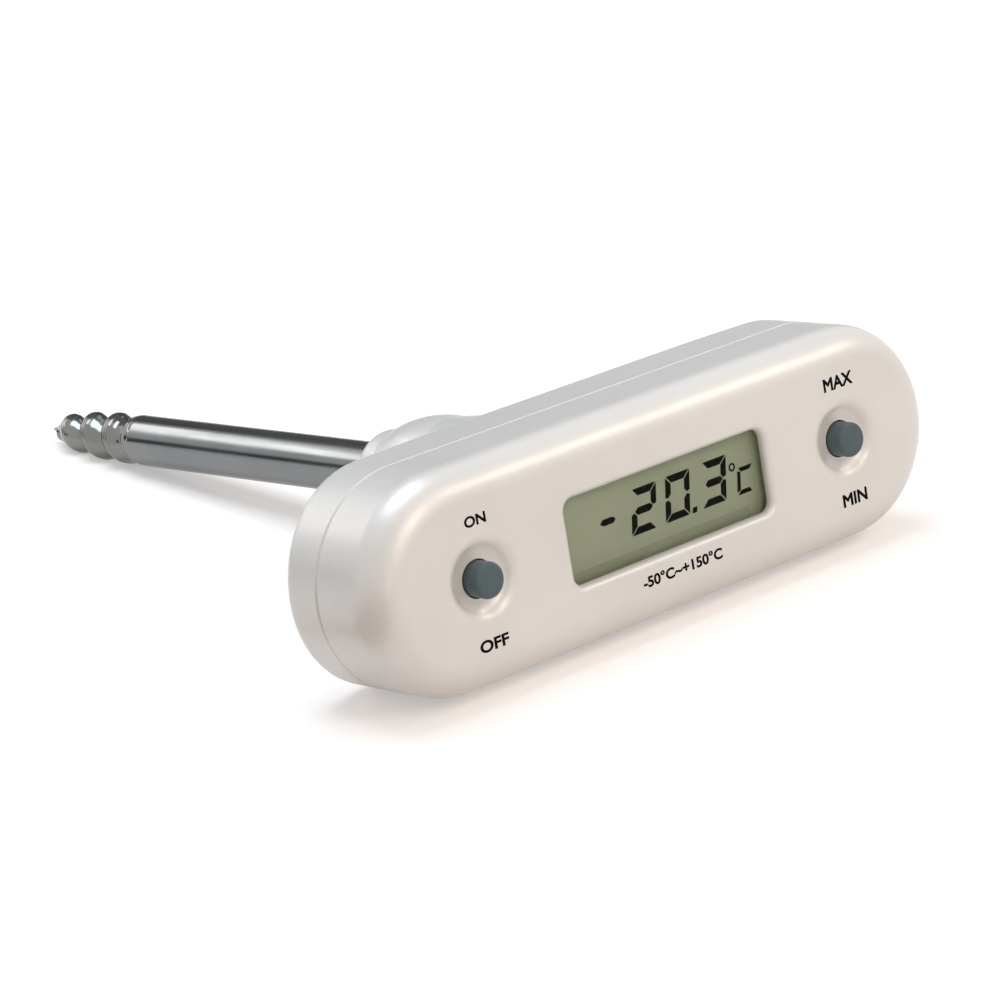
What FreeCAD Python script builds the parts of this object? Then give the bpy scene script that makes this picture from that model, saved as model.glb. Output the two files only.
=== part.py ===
"""T-handle digital probe thermometer with a corkscrew tip, a parametric document in millimetres.

The origin is on the probe's axis, where the tube's full radius begins just outside the collar.
X runs along the handle, +Y is the way the probe points and +Z is up when the handle lies on its
flat lower side. Inside the functions y is counted from the plane where the two shells meet, with
the display on its -Y side.
"""
import FreeCAD
import Part
import math
import os
import re
import Sketcher
from FreeCAD import Rotation, Vector

# Driving dimensions: the cell's alias, its value and what it measures
SIZES = [
    ("handle_length", 102.0, "overall length of the handle"),
    ("handle_height", 30.0, "height of the handle, whose ends are full half circles"),
    ("front_depth", 12.3, "parting line to the display face"),
    ("back_depth", 9.6, "parting line to the back, on the probe's axis"),
    ("back_bow", 2.6, "how far the back falls away at the handle's ends"),
    ("back_flat", 20.0, "probe's axis to where the back begins to fall away"),
    ("wall", 2.2, "wall of both shells"),
    ("front_edge", 5.0, "round of the display face's edge"),
    ("back_edge", 2.2, "round of the back's edge"),
    ("seam_chamfer", 0.25, "chamfer of both shells along the parting line"),
    ("gasket_width", 1.0, "width of the seal between the shells"),
    ("gasket_depth", 1.0, "depth of the seal's groove"),
    ("window_length", 36.3, "display opening along the handle"),
    ("window_height", 11.8, "display opening across the handle"),
    ("window_corner", 1.6, "corner round of the display opening"),
    ("window_bevel", 1.1, "soft edge round the display opening"),
    ("lens_lip", 1.6, "how far the window lens reaches behind the wall"),
    ("lens_thickness", 1.0, "thickness of the window lens"),
    ("lens_recess", 0.9, "depth of the lens's seat in the wall"),
    ("lcd_thickness", 2.0, "thickness of the display glass"),
    ("lcd_edge", 0.4, "how much smaller than the lens the display glass is"),
    ("strip_width", 1.8, "width of the rubber contact strips"),
    ("frame_wall", 1.2, "wall of the frame round the display"),
    ("button_inset", 17.7, "handle's end to each button"),
    ("button_radius", 2.42, "radius of the rubber buttons"),
    ("button_gap", 0.2, "clearance of each button in its hole"),
    ("button_proud", 1.3, "how far a button stands out of the face"),
    ("button_flange", 4.0, "radius of the flange that keeps a button in"),
    ("flange_thickness", 0.8, "thickness of that flange"),
    ("button_travel", 0.5, "how far a button can be pressed"),
    ("dish_floor", 2.9, "radius of the flat floor of a button's dish"),
    ("dish_radius", 6.2, "outer radius of a button's dish"),
    ("dish_depth", 1.3, "depth of a button's dish"),
    ("stem_radius", 1.5, "radius of a button's stem"),
    ("plunger_radius", 1.75, "radius of a switch's plunger"),
    ("plunger_rise", 0.8, "how far a switch's plunger stands out"),
    ("switch_size", 6.0, "side of a switch's housing"),
    ("switch_depth", 3.2, "depth of a switch's housing"),
    ("board_setback", 4.3, "parting line to the circuit board's front"),
    ("board_thickness", 1.0, "thickness of the circuit board"),
    ("board_inset", 13.5, "handle's end to the circuit board"),
    ("board_drop", 4.5, "handle's upper side to the circuit board"),
    ("post_inset", 7.35, "end of the display opening to the board's posts"),
    ("post_drop", 7.2, "handle's upper side to the board's posts"),
    ("post_radius", 2.0, "radius of the board's posts"),
    ("board_screw_radius", 0.8, "shank of the board's screws"),
    ("board_screw_length", 4.5, "shank length of the board's screws"),
    ("boss_inset", 8.5, "handle's end to the case screws"),
    ("boss_drop", 6.0, "handle's upper side to the case screws"),
    ("boss_radius", 2.7, "radius of the front shell's screw bosses"),
    ("back_boss_radius", 3.1, "radius of the rear shell's screw bosses"),
    ("screw_radius", 1.1, "shank of the case screws"),
    ("screw_length", 9.0, "shank length of the case screws"),
    ("screw_head_radius", 2.0, "head of the case screws"),
    ("screw_head_depth", 1.5, "thickness of the case screws' heads"),
    ("screw_seat", 3.0, "parting line to the seat of the screw heads"),
    ("head_gap", 0.3, "clearance round a screw's head"),
    ("cell_inset", 20.0, "handle's end to the button cell"),
    ("cell_radius", 5.8, "radius of the button cell"),
    ("cell_height", 5.4, "thickness of the button cell"),
    ("cell_gap", 0.3, "clearance round the button cell"),
    ("contact_sheet", 0.3, "thickness of the cell's contacts"),
    ("contact_width", 3.0, "width of the contact at the cell's side"),
    ("cell_top", 3.7, "parting line to the cell's outer face"),
    ("well_radius", 9.0, "outer radius of the cell's well"),
    ("cap_seat", 5.8, "parting line to the seat of the battery cap"),
    ("cap_radius", 7.6, "radius of the battery cap"),
    ("cap_thickness", 1.8, "thickness of the battery cap"),
    ("cap_plug_radius", 6.5, "radius of the battery cap's plug"),
    ("cap_gap", 0.3, "clearance round the battery cap"),
    ("cap_seal_radius", 0.35, "section radius of the cap's seal"),
    ("lug_reach", 7.0, "cap's axis to the ends of its two bayonet lugs"),
    ("lug_width", 3.0, "width of the bayonet lugs"),
    ("lug_thickness", 0.65, "thickness of the bayonet lugs"),
    ("lug_groove", 1.0, "depth of the groove that the lugs turn in"),
    ("coin_slot", 1.6, "width of the cap's coin slot"),
    ("coin_slot_length", 11.0, "length of the cap's coin slot"),
    ("coin_slot_depth", 1.0, "depth of the cap's coin slot"),
    ("tube_radius", 4.0, "radius of the probe's tube"),
    ("seat_radius", 3.8, "radius to which the tube is turned down inside the neck"),
    ("seat_reach", 0.2, "how far that seat reaches out of the collar"),
    ("tube_wall", 0.5, "wall of the probe's tube"),
    ("tube_start", 25.0, "parting line to the tube's inner end"),
    ("tube_end", 109.7, "parting line to the tube's outer end"),
    ("neck_root", 12.3, "radius of the neck where it leaves the handle"),
    ("neck_flare_end", 13.0, "where the neck's flare has turned into its cone"),
    ("neck_cone_start", 10.9, "radius of the neck's cone at the handle"),
    ("neck_cone_end", 9.1, "radius of the neck where its nose begins"),
    ("neck_nose", 32.5, "parting line to where the neck's nose begins"),
    ("neck_end", 44.8, "parting line to the neck's end"),
    ("neck_tip", 6.5, "radius of the neck's end"),
    ("neck_bore", 7.0, "bore of the neck behind the tube's flange"),
    ("neck_shoulder", 31.0, "parting line to the shoulder that holds the tube's flange"),
    ("flange_radius", 6.7, "radius of the tube's flange"),
    ("tube_flange", 2.0, "thickness of the tube's flange"),
    ("potting_depth", 9.0, "length of the resin behind the tube's flange"),
    ("collar_length", 4.4, "length of the neck's end collar"),
    ("collar_straight", 1.4, "length of the collar before it rounds over"),
    ("collar_radius", 6.25, "radius of the collar at the neck"),
    ("collar_rim", 4.9, "radius of the collar's flat end"),
    ("collar_spigot", 5.3, "radius of the collar's spigot"),
    ("spigot_length", 1.6, "length of the collar's spigot"),
    ("seal_section", 0.6, "section radius of the seal round the tube"),
    ("fit_gap", 0.05, "clearance of pieces that fit each other"),
    ("wire_radius", 0.45, "radius of the sensor's wires"),
    ("wire_offset", 0.8, "axis to each of the sensor's wires"),
    ("bead_radius", 1.4, "radius of the sensor bead"),
    ("bead_length", 4.5, "length of the sensor bead"),
    ("bead_setback", 6.0, "tube end to the sensor bead"),
    ("tip_length", 26.5, "length of the corkscrew tip outside the tube"),
    ("tip_plug_length", 3.0, "length of the tip's plug in the tube"),
    ("flute_lead", 6.6, "lead of the tip's flute"),
    ("flute_depth", 1.65, "greatest depth of the tip's flute"),
    ("flute_phase", 21.9, "angle of the flute's first valley from the top, in degrees"),
    ("first_valley", 4.8, "tube end to the flute's first valley"),
    ("point_length", 2.8, "length of the plain conical point"),
    ("point_base", 1.05, "radius of the point where it leaves the flutes"),
    ("point_radius", 0.2, "radius of the blunted point"),
]
VALUES = {name: value for name, value, note in SIZES}

doc = FreeCAD.newDocument("probe_thermometer")
sheet = doc.addObject("Spreadsheet::Sheet", "sizes")
for row, (name, value, note) in enumerate(SIZES, start=1):
    sheet.set(f"A{row}", note)
    sheet.set(f"B{row}", str(value))
    sheet.setAlias(f"B{row}", name)
doc.recompute()

# Places that follow from the driving dimensions, as expressions over the sheet's cells
PROBE_EXIT = "(neck_end + collar_length + seat_reach)"
FACE_INNER = "(front_depth - wall)"
LENS_FRONT = "(front_depth - wall + lens_recess)"
LENS_BACK = "(front_depth - wall + lens_recess - lens_thickness)"
LENS_LENGTH = "(window_length + 2 * lens_lip)"
LENS_HEIGHT = "(window_height + 2 * lens_lip)"
LCD_BACK = "(front_depth - wall + lens_recess - lens_thickness - lcd_thickness)"
BOARD_BACK = "(board_setback - board_thickness)"
END_DEPTH = "(back_depth - back_bow)"
SWITCH_FRONT = "(board_setback + switch_depth)"
PLUNGER_FRONT = "(board_setback + switch_depth + plunger_rise)"
BUTTON_X = "(handle_length / 2 - button_inset)"
BOSS_X = "(handle_length / 2 - boss_inset)"
BOSS_Z = "(handle_height / 2 - boss_drop)"
BOARD_LENGTH = "(handle_length - 2 * board_inset)"
BOARD_HEIGHT = "(handle_height - 2 * board_drop)"
POST_X = "(window_length / 2 + post_inset)"
POST_Z = "(handle_height / 2 - post_drop)"
CELL_X = "(handle_length / 2 - cell_inset)"
LUG_ROOM = "(lug_reach + cap_gap + fit_gap)"
CORNERS = [(-1, -1), (1, -1), (1, 1), (-1, 1)]
SUB_PARTS = []


def bound(text):
    """The expression with each alias written as a cell of the sheet."""
    return re.sub(r"[a-z_]+", lambda word: f"sizes.{word[0]}" if word[0] in VALUES else word[0], text)


def number(text):
    """The value of an expression over the driving dimensions."""
    return float(sheet.evalExpression(bound(text)))


def named(thing, label):
    """Keep an object as a sub-part under its name."""
    thing.Label = label
    SUB_PARTS.append(thing)
    return thing


def place(thing, x="0", y="0", z="0"):
    """Bind an object's position, with y counted from the plane where the shells meet."""
    thing.setExpression("Placement.Base.x", bound(x))
    thing.setExpression("Placement.Base.y", bound(f"({y}) - {PROBE_EXIT}"))
    thing.setExpression("Placement.Base.z", bound(z))


def body_on_axis(label):
    """A body whose own origin lies on the probe's axis."""
    body = doc.addObject("PartDesign::Body", label)
    place(body)
    return named(body, label)


def sketch_on(body, role, name, level="0"):
    """A sketch on one of the body's planes; level shifts it along +Y or +Z."""
    sketch = body.newObject("Sketcher::SketchObject", name)
    plane = next(item for item in body.Origin.OriginFeatures if item.Role == role)
    sketch.AttachmentSupport = [(plane, "")]
    sketch.MapMode = "FlatFace"
    if level != "0":
        sign = "-" if role == "XZ_Plane" else ""
        sketch.setExpression("AttachmentOffset.Base.z", bound(f"{sign}({level})"))
    return sketch


def constrain(sketch, kind, *where, to=None):
    """Add a constraint, with its value bound to an expression where one is given."""
    if to is None:
        return sketch.addConstraint(Sketcher.Constraint(kind, *where))
    index = sketch.addConstraint(Sketcher.Constraint(kind, *where, number(to)))
    sketch.setExpression(f"Constraints[{index}]", bound(to))
    return index


def circle_at(sketch, radius, x="0", z="0"):
    """A circle with its radius and centre bound."""
    centre = Vector(number(x), number(z), 0)
    index = sketch.addGeometry(Part.Circle(centre, Vector(0, 0, 1), number(radius)))
    constrain(sketch, "Radius", index, to=radius)
    constrain(sketch, "DistanceX", -1, 1, index, 3, to=x)
    constrain(sketch, "DistanceY", -1, 1, index, 3, to=z)


def stadium(sketch, length, height):
    """Two straight sides joined by full half circles, centred on the axis."""
    radius = number(height) / 2
    half = (number(length) - number(height)) / 2
    up = Vector(0, 0, 1)
    right = Part.Circle(Vector(half, 0, 0), up, radius)
    left = Part.Circle(Vector(-half, 0, 0), up, radius)
    top = sketch.addGeometry(Part.LineSegment(Vector(-half, radius, 0), Vector(half, radius, 0)))
    end_r = sketch.addGeometry(Part.ArcOfCircle(right, -math.pi / 2, math.pi / 2))
    low = sketch.addGeometry(Part.LineSegment(Vector(half, -radius, 0), Vector(-half, -radius, 0)))
    end_l = sketch.addGeometry(Part.ArcOfCircle(left, math.pi / 2, 3 * math.pi / 2))
    constrain(sketch, "Tangent", top, 2, end_r, 2)
    constrain(sketch, "Tangent", end_r, 1, low, 1)
    constrain(sketch, "Tangent", low, 2, end_l, 2)
    constrain(sketch, "Tangent", end_l, 1, top, 1)
    constrain(sketch, "Horizontal", top)
    constrain(sketch, "Symmetric", end_l, 3, end_r, 3, -1, 1)
    constrain(sketch, "Radius", end_r, to=f"({height}) / 2")
    constrain(sketch, "DistanceX", end_l, 3, end_r, 3, to=f"({length}) - ({height})")


def rectangle(sketch, length, height, x="0", z="0"):
    """A rectangle with its sides and centre bound."""
    half_l = number(length) / 2
    half_h = number(height) / 2
    mid = Vector(number(x), number(z), 0)
    corners = [mid + Vector(i * half_l, j * half_h, 0) for i, j in CORNERS]
    sides = [sketch.addGeometry(Part.LineSegment(corners[n], corners[(n + 1) % 4])) for n in range(4)]
    for n in range(4):
        constrain(sketch, "Coincident", sides[n], 2, sides[(n + 1) % 4], 1)
    constrain(sketch, "Horizontal", sides[0])
    constrain(sketch, "Vertical", sides[1])
    constrain(sketch, "Horizontal", sides[2])
    constrain(sketch, "Vertical", sides[3])
    constrain(sketch, "DistanceX", sides[0], 1, sides[0], 2, to=length)
    constrain(sketch, "DistanceY", sides[1], 1, sides[1], 2, to=height)
    constrain(sketch, "DistanceX", -1, 1, sides[0], 1, to=f"({x}) - ({length}) / 2")
    constrain(sketch, "DistanceY", -1, 1, sides[0], 1, to=f"({z}) - ({height}) / 2")


def outline(sketch, points):
    """A closed outline through (x, y) expressions, every corner bound to the sheet."""
    spots = [Vector(number(x), number(y), 0) for x, y in points]
    count = len(spots)
    sides = [sketch.addGeometry(Part.LineSegment(spots[n], spots[(n + 1) % count]))
             for n in range(count)]
    for n in range(count):
        constrain(sketch, "Coincident", sides[n], 2, sides[(n + 1) % count], 1)
    for side, (x, y) in zip(sides, points):
        constrain(sketch, "DistanceX", -1, 1, side, 1, to=x)
        constrain(sketch, "DistanceY", -1, 1, side, 1, to=y)


def extrude(body, kind, name, sketch, length=None, away=True):
    """Pad or Pocket along +Y when away, else along -Y; with no length it goes right through."""
    feature = body.newObject(f"PartDesign::{kind}", name)
    feature.Profile = (sketch, [""])
    feature.Reversed = away if kind == "Pad" else not away
    if length is None:
        feature.Type = "ThroughAll"
    else:
        feature.setExpression("Length", bound(length))
    doc.recompute()
    return feature


def turned(body, kind, name, sketch, axis="V_Axis"):
    """Revolution or Groove about the sketch's vertical axis or a construction line."""
    feature = body.newObject(f"PartDesign::{kind}", name)
    feature.Profile = (sketch, [""])
    feature.ReferenceAxis = (sketch, [axis])
    feature.Angle = 360
    doc.recompute()
    return feature


def edges_where(body, test):
    """Names of the tip shape's edges whose bounding box and length pass the test."""
    edges = body.Tip.Shape.Edges
    return [f"Edge{n}" for n, edge in enumerate(edges, start=1) if test(edge, edge.BoundBox)]


def dressed(body, kind, name, edges, size):
    """Fillet or Chamfer on the named edges of the body's tip."""
    feature = body.newObject(f"PartDesign::{kind}", name)
    feature.Base = (body.Tip if body.Tip != feature else feature.BaseFeature, edges)
    feature.setExpression("Radius" if kind == "Fillet" else "Size", bound(size))
    doc.recompute()
    return feature


def near(a, b, slack=0.01):
    return abs(a - b) < slack


def cylinder(name, radius, length, x="0", y="0", z="0"):
    """A cylinder that runs from y along +Y."""
    thing = doc.addObject("Part::Cylinder", name)
    thing.setExpression("Radius", bound(radius))
    thing.setExpression("Height", bound(length))
    thing.Placement = FreeCAD.Placement(Vector(0, 0, 0), Rotation(Vector(1, 0, 0), -90))
    place(thing, x, y, z)
    return thing


def box(name, length, depth, height, x="0", y="0", z="0"):
    """A box centred on x and z that runs from y along +Y."""
    thing = doc.addObject("Part::Box", name)
    thing.setExpression("Length", bound(length))
    thing.setExpression("Width", bound(depth))
    thing.setExpression("Height", bound(height))
    place(thing, f"({x}) - ({length}) / 2", y, f"({z}) - ({height}) / 2")
    return thing


def cut(name, base, *tools):
    """The base less each tool."""
    result = base
    for n, tool in enumerate(tools, start=1):
        step = doc.addObject("Part::Cut", f"{name}_cut_{n}")
        step.Base = result
        step.Tool = tool
        result = step
    doc.recompute()
    return result


def fused(name, *pieces):
    """The union of the pieces."""
    thing = doc.addObject("Part::MultiFuse", f"{name}_union")
    thing.Shapes = list(pieces)
    doc.recompute()
    return thing


def group(name, *pieces):
    """Separate solids that share one node."""
    thing = doc.addObject("Part::Compound", f"{name}_group")
    thing.Links = list(pieces)
    doc.recompute()
    return thing


def front_shell():
    """Moulded front half: display face, window, button dishes, screw bosses and board posts."""
    body = body_on_axis("front_shell")
    front = -number("front_depth")

    blank = sketch_on(body, "XZ_Plane", "front_outline")
    stadium(blank, "handle_length", "handle_height")
    extrude(body, "Pad", "front_block", blank, "front_depth", away=False)
    face_edges = edges_where(body, lambda edge, box: near(box.YMin, front) and near(box.YMax, front))
    dressed(body, "Fillet", "front_round", face_edges, "front_edge")

    hollow = sketch_on(body, "XZ_Plane", "front_hollow_outline")
    stadium(hollow, "handle_length - 2 * wall", "handle_height - 2 * wall")
    extrude(body, "Pocket", "front_hollow", hollow, FACE_INNER, away=False)
    floor = -number(FACE_INNER)
    floor_edges = edges_where(body, lambda edge, box: near(box.YMin, floor) and near(box.YMax, floor))
    dressed(body, "Fillet", "hollow_round", floor_edges, "front_edge - wall")

    bosses = sketch_on(body, "XZ_Plane", "front_boss_outline")
    for i, j in CORNERS:
        circle_at(bosses, "boss_radius", f"{i} * {BOSS_X}", f"{j} * {BOSS_Z}")
    extrude(body, "Pad", "front_bosses", bosses, f"{FACE_INNER} + wall / 10", away=False)

    posts = sketch_on(body, "XZ_Plane", "post_outline", "-board_setback")
    for i, j in CORNERS:
        circle_at(posts, "post_radius", f"{i} * {POST_X}", f"{j} * {POST_Z}")
    extrude(body, "Pad", "board_posts", posts, f"{FACE_INNER} - board_setback + wall / 3", away=False)

    pilots = sketch_on(body, "XZ_Plane", "pilot_outline")
    for i, j in CORNERS:
        circle_at(pilots, "screw_radius + fit_gap", f"{i} * {BOSS_X}", f"{j} * {BOSS_Z}")
    extrude(body, "Pocket", "case_screw_pilots", pilots, "screw_length - screw_seat + 0.5", away=False)

    post_pilots = sketch_on(body, "XZ_Plane", "post_pilot_outline", "-board_setback")
    for i, j in CORNERS:
        circle_at(post_pilots, "board_screw_radius + fit_gap", f"{i} * {POST_X}", f"{j} * {POST_Z}")
    extrude(body, "Pocket", "board_screw_pilots", post_pilots,
            "board_screw_length - board_thickness + 0.5", away=False)

    window = sketch_on(body, "XZ_Plane", "window_outline")
    rectangle(window, "window_length", "window_height")
    extrude(body, "Pocket", "window", window, away=False)
    corner_x = number("window_length") / 2
    corner_z = number("window_height") / 2
    corners = edges_where(body, lambda edge, box: near(abs(box.Center.x), corner_x)
                          and near(abs(box.Center.z), corner_z)
                          and near(box.XLength, 0) and near(box.ZLength, 0))
    dressed(body, "Fillet", "window_corners", corners, "window_corner")
    rim = edges_where(body, lambda edge, box: near(box.YMin, front) and near(box.YMax, front)
                      and abs(box.Center.x) < corner_x + 1 and abs(box.Center.z) < corner_z + 0.1)
    dressed(body, "Fillet", "window_soft_edge", rim, "window_bevel")

    seat = sketch_on(body, "XZ_Plane", "lens_seat_outline")
    rectangle(seat, f"{LENS_LENGTH} + 2 * fit_gap", f"{LENS_HEIGHT} + 2 * fit_gap")
    extrude(body, "Pocket", "lens_seat", seat, LENS_FRONT, away=False)

    for side in (-1, 1):
        dish = sketch_on(body, "XY_Plane", f"dish_profile_{side + 2}")
        dish_profile(dish, side)
        turned(body, "Groove", f"button_dish_{side + 2}", dish, "Axis0")

    holes = sketch_on(body, "XZ_Plane", "button_hole_outline")
    for side in (-1, 1):
        circle_at(holes, "button_radius + button_gap", f"{side} * {BUTTON_X}")
    extrude(body, "Pocket", "button_holes", holes, away=False)

    radius = number("handle_height") / 2
    seam = edges_where(body, lambda edge, box: near(box.YMin, 0) and near(box.YMax, 0)
                       and (near(box.ZMax, radius) or near(box.ZMin, -radius)))
    dressed(body, "Chamfer", "front_seam", seam, "seam_chamfer")
    return body


def dish_profile(sketch, side):
    """Half section of a button's dish: a flat floor that runs into the face by two equal arcs."""
    face = -number("front_depth")
    depth = number("dish_depth")
    axis = side * number(BUTTON_X)
    inner = number("dish_floor")
    outer = number("dish_radius")
    half_run = (outer - inner) / 2
    bend = (half_run ** 2 + (depth / 2) ** 2) / depth
    turn = math.asin(half_run / bend)
    floor = face + depth
    above = face - 1

    def spot(reach, level):
        return Vector(axis + side * reach, level, 0)

    middle = spot(inner + half_run, face + depth / 2)
    low_mid = spot(inner + bend * math.sin(turn / 2), floor - bend * (1 - math.cos(turn / 2)))
    high_mid = spot(outer - bend * math.sin(turn / 2), face + bend * (1 - math.cos(turn / 2)))
    sketch.addGeometry(Part.LineSegment(spot(0, floor), spot(inner, floor)))
    sketch.addGeometry(Part.Arc(spot(inner, floor), low_mid, middle))
    sketch.addGeometry(Part.Arc(middle, high_mid, spot(outer, face)))
    sketch.addGeometry(Part.LineSegment(spot(outer, face), spot(outer, above)))
    sketch.addGeometry(Part.LineSegment(spot(outer, above), spot(0, above)))
    sketch.addGeometry(Part.LineSegment(spot(0, above), spot(0, floor)))
    sketch.addGeometry(Part.LineSegment(spot(0, above), spot(0, floor)), True)


def rear_shell():
    """Moulded rear half: bowed back, neck, cell well, screw bosses and the seal's groove."""
    body = body_on_axis("rear_shell")
    blank = sketch_on(body, "XZ_Plane", "back_outline")
    stadium(blank, "handle_length", "handle_height")
    extrude(body, "Pad", "back_block", blank, "back_depth + 1")

    bow = sketch_on(body, "XY_Plane", "bow_profile")
    bow_profile(bow)
    bow_cut = extrude(body, "Pocket", "back_bow_cut", bow)
    bow_cut.Midplane = True
    doc.recompute()
    rim = edges_where(body, lambda edge, box: box.YMin > 0.5 and box.XLength > 1)
    dressed(body, "Fillet", "back_round", rim, "back_edge")

    neck = sketch_on(body, "XY_Plane", "neck_profile")
    neck_profile(neck)
    turned(body, "Revolution", "neck", neck)

    hollow = sketch_on(body, "XZ_Plane", "back_hollow_outline")
    stadium(hollow, "handle_length - 2 * wall", "handle_height - 2 * wall")
    extrude(body, "Pocket", "back_hollow", hollow, f"{END_DEPTH} - wall")
    crown = sketch_on(body, "XY_Plane", "crown_profile")
    crown_profile(crown)
    crown_cut = extrude(body, "Pocket", "back_crown_hollow", crown, "handle_height - 2 * wall")
    crown_cut.Midplane = True
    doc.recompute()

    bosses = sketch_on(body, "XZ_Plane", "back_boss_outline")
    for i, j in CORNERS:
        circle_at(bosses, "back_boss_radius", f"{i} * {BOSS_X}", f"{j} * {BOSS_Z}")
    extrude(body, "Pad", "back_bosses", bosses, f"{END_DEPTH} - wall / 2")
    well = sketch_on(body, "XZ_Plane", "well_outline")
    circle_at(well, "well_radius", CELL_X)
    extrude(body, "Pad", "cell_well", well, "back_depth - back_bow * 0.85")

    bore = sketch_on(body, "XZ_Plane", "neck_bore_outline")
    circle_at(bore, "neck_bore")
    extrude(body, "Pocket", "neck_bore", bore, "neck_shoulder")
    sleeve = sketch_on(body, "XZ_Plane", "tube_hole_outline")
    circle_at(sleeve, "tube_radius + fit_gap")
    extrude(body, "Pocket", "tube_hole", sleeve)
    mouth = sketch_on(body, "XZ_Plane", "collar_seat_outline",
                      "neck_end - spigot_length - 2.2 * seal_section")
    circle_at(mouth, "collar_spigot + fit_gap")
    extrude(body, "Pocket", "collar_seat", mouth)

    shanks = sketch_on(body, "XZ_Plane", "shank_outline")
    for i, j in CORNERS:
        circle_at(shanks, "screw_radius + 0.2", f"{i} * {BOSS_X}", f"{j} * {BOSS_Z}")
    extrude(body, "Pocket", "case_screw_holes", shanks)
    heads = sketch_on(body, "XZ_Plane", "head_outline", "screw_seat")
    for i, j in CORNERS:
        circle_at(heads, "screw_head_radius + head_gap", f"{i} * {BOSS_X}", f"{j} * {BOSS_Z}")
    extrude(body, "Pocket", "screw_head_pockets", heads)

    cell_hole = sketch_on(body, "XZ_Plane", "cell_hole_outline")
    circle_at(cell_hole, "cell_radius + cell_gap", CELL_X)
    extrude(body, "Pocket", "cell_hole", cell_hole)
    plug_hole = sketch_on(body, "XZ_Plane", "plug_hole_outline", "cell_top")
    circle_at(plug_hole, "cap_plug_radius + cap_gap", CELL_X)
    extrude(body, "Pocket", "plug_hole", plug_hole)
    lug_groove = sketch_on(body, "XZ_Plane", "lug_groove_outline", "cell_top")
    circle_at(lug_groove, LUG_ROOM, CELL_X)
    extrude(body, "Pocket", "lug_groove", lug_groove, "lug_groove")
    lug_slots = sketch_on(body, "XZ_Plane", "lug_slot_outline", "cell_top")
    rectangle(lug_slots, "lug_width + 2 * cap_gap", f"2 * {LUG_ROOM}", CELL_X)
    extrude(body, "Pocket", "lug_slots", lug_slots)
    cap_recess = sketch_on(body, "XZ_Plane", "cap_recess_outline", "cap_seat")
    circle_at(cap_recess, "cap_radius + cap_gap", CELL_X)
    extrude(body, "Pocket", "cap_recess", cap_recess)

    slot = sketch_on(body, "XZ_Plane", "contact_slot_outline")
    rectangle(slot, "4 * contact_sheet", "contact_width + 2 * cell_gap", f"{CELL_X} - cell_radius")
    extrude(body, "Pocket", "contact_slot", slot, "cell_top")

    groove = sketch_on(body, "XZ_Plane", "gasket_groove_outline")
    inset = "(wall - gasket_width) / 2"
    stadium(groove, f"handle_length - 2 * {inset}", f"handle_height - 2 * {inset}")
    stadium(groove, f"handle_length - 2 * ({inset} + gasket_width)",
            f"handle_height - 2 * ({inset} + gasket_width)")
    extrude(body, "Pocket", "gasket_groove", groove, "gasket_depth")

    radius = number("handle_height") / 2
    seam = edges_where(body, lambda edge, box: near(box.YMin, 0) and near(box.YMax, 0)
                       and (near(box.ZMax, radius) or near(box.ZMin, -radius)))
    dressed(body, "Chamfer", "back_seam", seam, "seam_chamfer")
    return body


def bow_at(crest, reach):
    """Point of the bowed line at reach, and the point half way along its arc, on either side."""
    flat = number("back_flat")
    span = number("handle_length / 2") - flat
    drop = number("back_bow")
    radius = (span ** 2 + drop ** 2) / (2 * drop)
    spots = []
    for run in (reach - flat, (reach - flat) / 2):
        level = crest - radius + math.sqrt(radius ** 2 - run ** 2)
        spots.append([Vector(side * (flat + run), level, 0) for side in (-1, 1)])
    return spots


def bowed_outline(sketch, crest, reach, lid):
    """A flat middle that falls away by an arc on either side, closed by straight lines at lid."""
    (left, right), (left_mid, right_mid) = bow_at(crest, reach)
    flat = number("back_flat")
    far = [Vector(right.x, lid, 0), Vector(left.x, lid, 0)]
    sketch.addGeometry(Part.Arc(left, left_mid, Vector(-flat, crest, 0)))
    sketch.addGeometry(Part.LineSegment(Vector(-flat, crest, 0), Vector(flat, crest, 0)))
    sketch.addGeometry(Part.Arc(Vector(flat, crest, 0), right_mid, right))
    sketch.addGeometry(Part.LineSegment(right, far[0]))
    sketch.addGeometry(Part.LineSegment(far[0], far[1]))
    sketch.addGeometry(Part.LineSegment(far[1], left))


def bow_profile(sketch):
    """Everything behind the back, which falls by back_bow at the handle's ends."""
    bowed_outline(sketch, number("back_depth"), number("handle_length / 2") + 2, number("back_depth") + 3)


def crown_profile(sketch):
    """The hollow under the bow, within the straight part of the handle."""
    bowed_outline(sketch, number("back_depth - wall"), number("(handle_length - handle_height) / 2 - 2"),
                  number(f"{END_DEPTH} - wall") - 0.5)


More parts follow.
